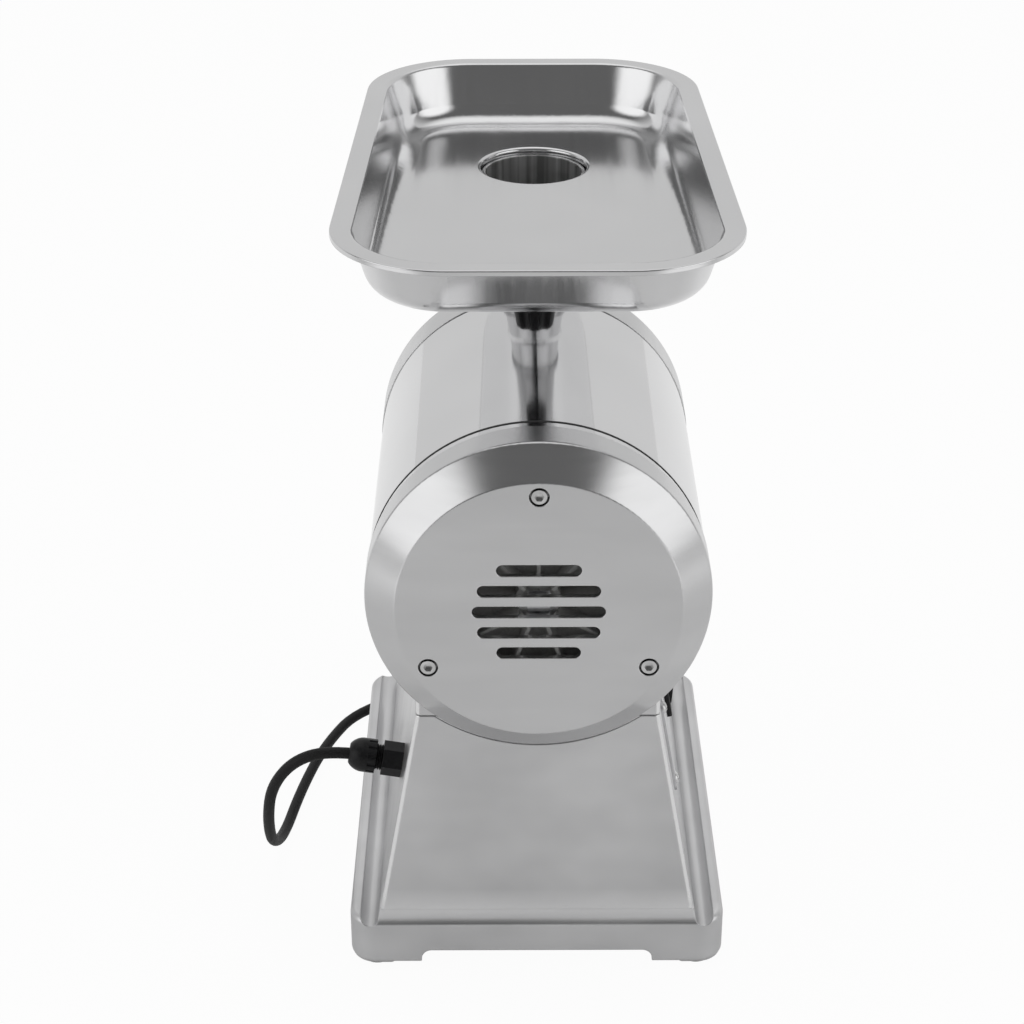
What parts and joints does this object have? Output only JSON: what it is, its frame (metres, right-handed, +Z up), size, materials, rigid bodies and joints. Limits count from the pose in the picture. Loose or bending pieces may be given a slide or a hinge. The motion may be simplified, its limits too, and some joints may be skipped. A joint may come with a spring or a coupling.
{
  "type": "electric meat grinder",
  "caption": "Bench-top electric meat grinder: barrel motor on a cast pedestal, vented rear cover, gear drive, feed screw, plate and knife, ring nut, lift-off tray, switch and cord.",
  "frame": {"origin": "middle of the footprint on the standing surface, without the cord", "axes": "+Y is the feed direction, from the vented rear cover to the outlet; +X is the switch side; +Z is up"},
  "size_m": [0.283, 0.4373, 0.4414],
  "materials": {
    "polished_steel": "polished stainless sheet",
    "turned_aluminium": "turned, satin",
    "cast_aluminium": "ground casting, satin",
    "inner_aluminium": "as cast",
    "screw_steel": "bright zinc",
    "sheet_steel": "zinc plated",
    "gear_steel": "ground steel",
    "bearing_steel": "ground steel",
    "core_steel": "laminated",
    "copper": "varnished copper",
    "head_steel": "polished casting",
    "black_plastic": "black moulding",
    "rocker_plastic": "dark moulding",
    "switch_plate_metal": "brushed",
    "foot_rubber": "black rubber",
    "cord_rubber": "black cord jacket",
    "tie_fabric": "black strap",
    "pin_brass": "plated pins",
    "capacitor_plastic": "white can"
  },
  "bodies": {
    "base": {"base_casting": "cast_aluminium", "bottom_plate": "sheet_steel", "bottom_plate_screws": "screw_steel", "capacitor": "capacitor_plastic", "capacitor_strap": "sheet_steel", "cord_coil": "cord_rubber", "cord_tie": "tie_fabric", "cradle": "cast_aluminium", "cradle_screws": "screw_steel", "end_bracket": "inner_aluminium", "foot_screws": "screw_steel", "gear_housing": "turned_aluminium", "gear_plate": "inner_aluminium", "gland_body": "black_plastic", "gland_locknut": "black_plastic", "gland_nut": "black_plastic", "layshaft_bearings": "bearing_steel", "motor_bearings": "bearing_steel", "motor_frame": "inner_aluminium", "motor_shell": "polished_steel", "output_bearings": "bearing_steel", "plug_pins": "pin_brass", "power_cord": "cord_rubber", "power_plug": "cord_rubber", "rear_cover": "turned_aluminium", "rear_cover_screws": "screw_steel", "rubber_feet": "foot_rubber", "shaft_seal": "foot_rubber", "stator_core": "core_steel", "stator_windings": "copper", "switch_body": "black_plastic", "switch_plate": "switch_plate_metal", "switch_plate_screws": "screw_steel", "terminal_block": "black_plastic"},
    "rotor": {"rotor_core": "core_steel", "motor_shaft": "gear_steel", "motor_pinion": "gear_steel", "cooling_fan": "black_plastic", "fan_nut": "screw_steel"},
    "layshaft_group": {"layshaft": "gear_steel", "layshaft_gear": "gear_steel", "layshaft_pinion": "gear_steel"},
    "output_group": {"output_gear": "gear_steel", "output_shaft": "gear_steel"},
    "head": {"head_body": "head_steel", "grinding_plate": "gear_steel", "plate_pin": "screw_steel"},
    "feed_screw": {"auger": "head_steel", "knife": "gear_steel"},
    "retaining_ring": {"ring_nut": "head_steel"},
    "meat_tray": {"tray": "polished_steel"},
    "head_lock": {"lock_bolt": "screw_steel", "lock_knob": "black_plastic"},
    "switch_paddle": {"switch_rocker": "rocker_plastic"}
  },
  "joints": [
    {"name": "rotor_spin", "type": "hinge", "parent": "base", "child": "rotor", "pos_m": [0, 0, 0.2564], "axis": [0, 1, 0], "continuous": true},
    {"name": "layshaft_spin", "type": "hinge", "parent": "base", "child": "layshaft_group", "pos_m": [0, 0, 0.2144], "axis": [0, 1, 0], "continuous": true},
    {"name": "output_spin", "type": "hinge", "parent": "base", "child": "output_group", "pos_m": [0, 0, 0.2564], "axis": [0, 1, 0], "continuous": true},
    {"name": "head_pull", "type": "slide", "parent": "base", "child": "head", "axis": [0, 1, 0], "range_m": [0, 0.06]},
    {"name": "screw_spin", "type": "hinge", "parent": "head", "child": "feed_screw", "pos_m": [0, 0, 0.2564], "axis": [0, 1, 0], "continuous": true},
    {"name": "ring_nut_turn", "type": "hinge", "parent": "head", "child": "retaining_ring", "pos_m": [0, 0, 0.2564], "axis": [0, 1, 0], "range_deg": [0, 720]},
    {"name": "tray_lift", "type": "slide", "parent": "head", "child": "meat_tray", "axis": [0, 0, 1], "range_m": [0, 0.06]},
    {"name": "lock_knob_turn", "type": "hinge", "parent": "base", "child": "head_lock", "pos_m": [0, 0.02775, 0.3519], "axis": [0, 0, 1], "range_deg": [0, 720]},
    {"name": "switch_rock", "type": "hinge", "parent": "base", "child": "switch_paddle", "pos_m": [0.07705, -0.093, 0.1345], "axis": [0, 1, 0], "range_deg": [0, 24]}
  ],
  "couplings": [
    {"joint": "layshaft_spin", "follows": "rotor_spin", "ratio": -0.33333},
    {"joint": "output_spin", "follows": "rotor_spin", "ratio": 0.13333},
    {"joint": "screw_spin", "follows": "rotor_spin", "ratio": 0.13333}
  ]
}
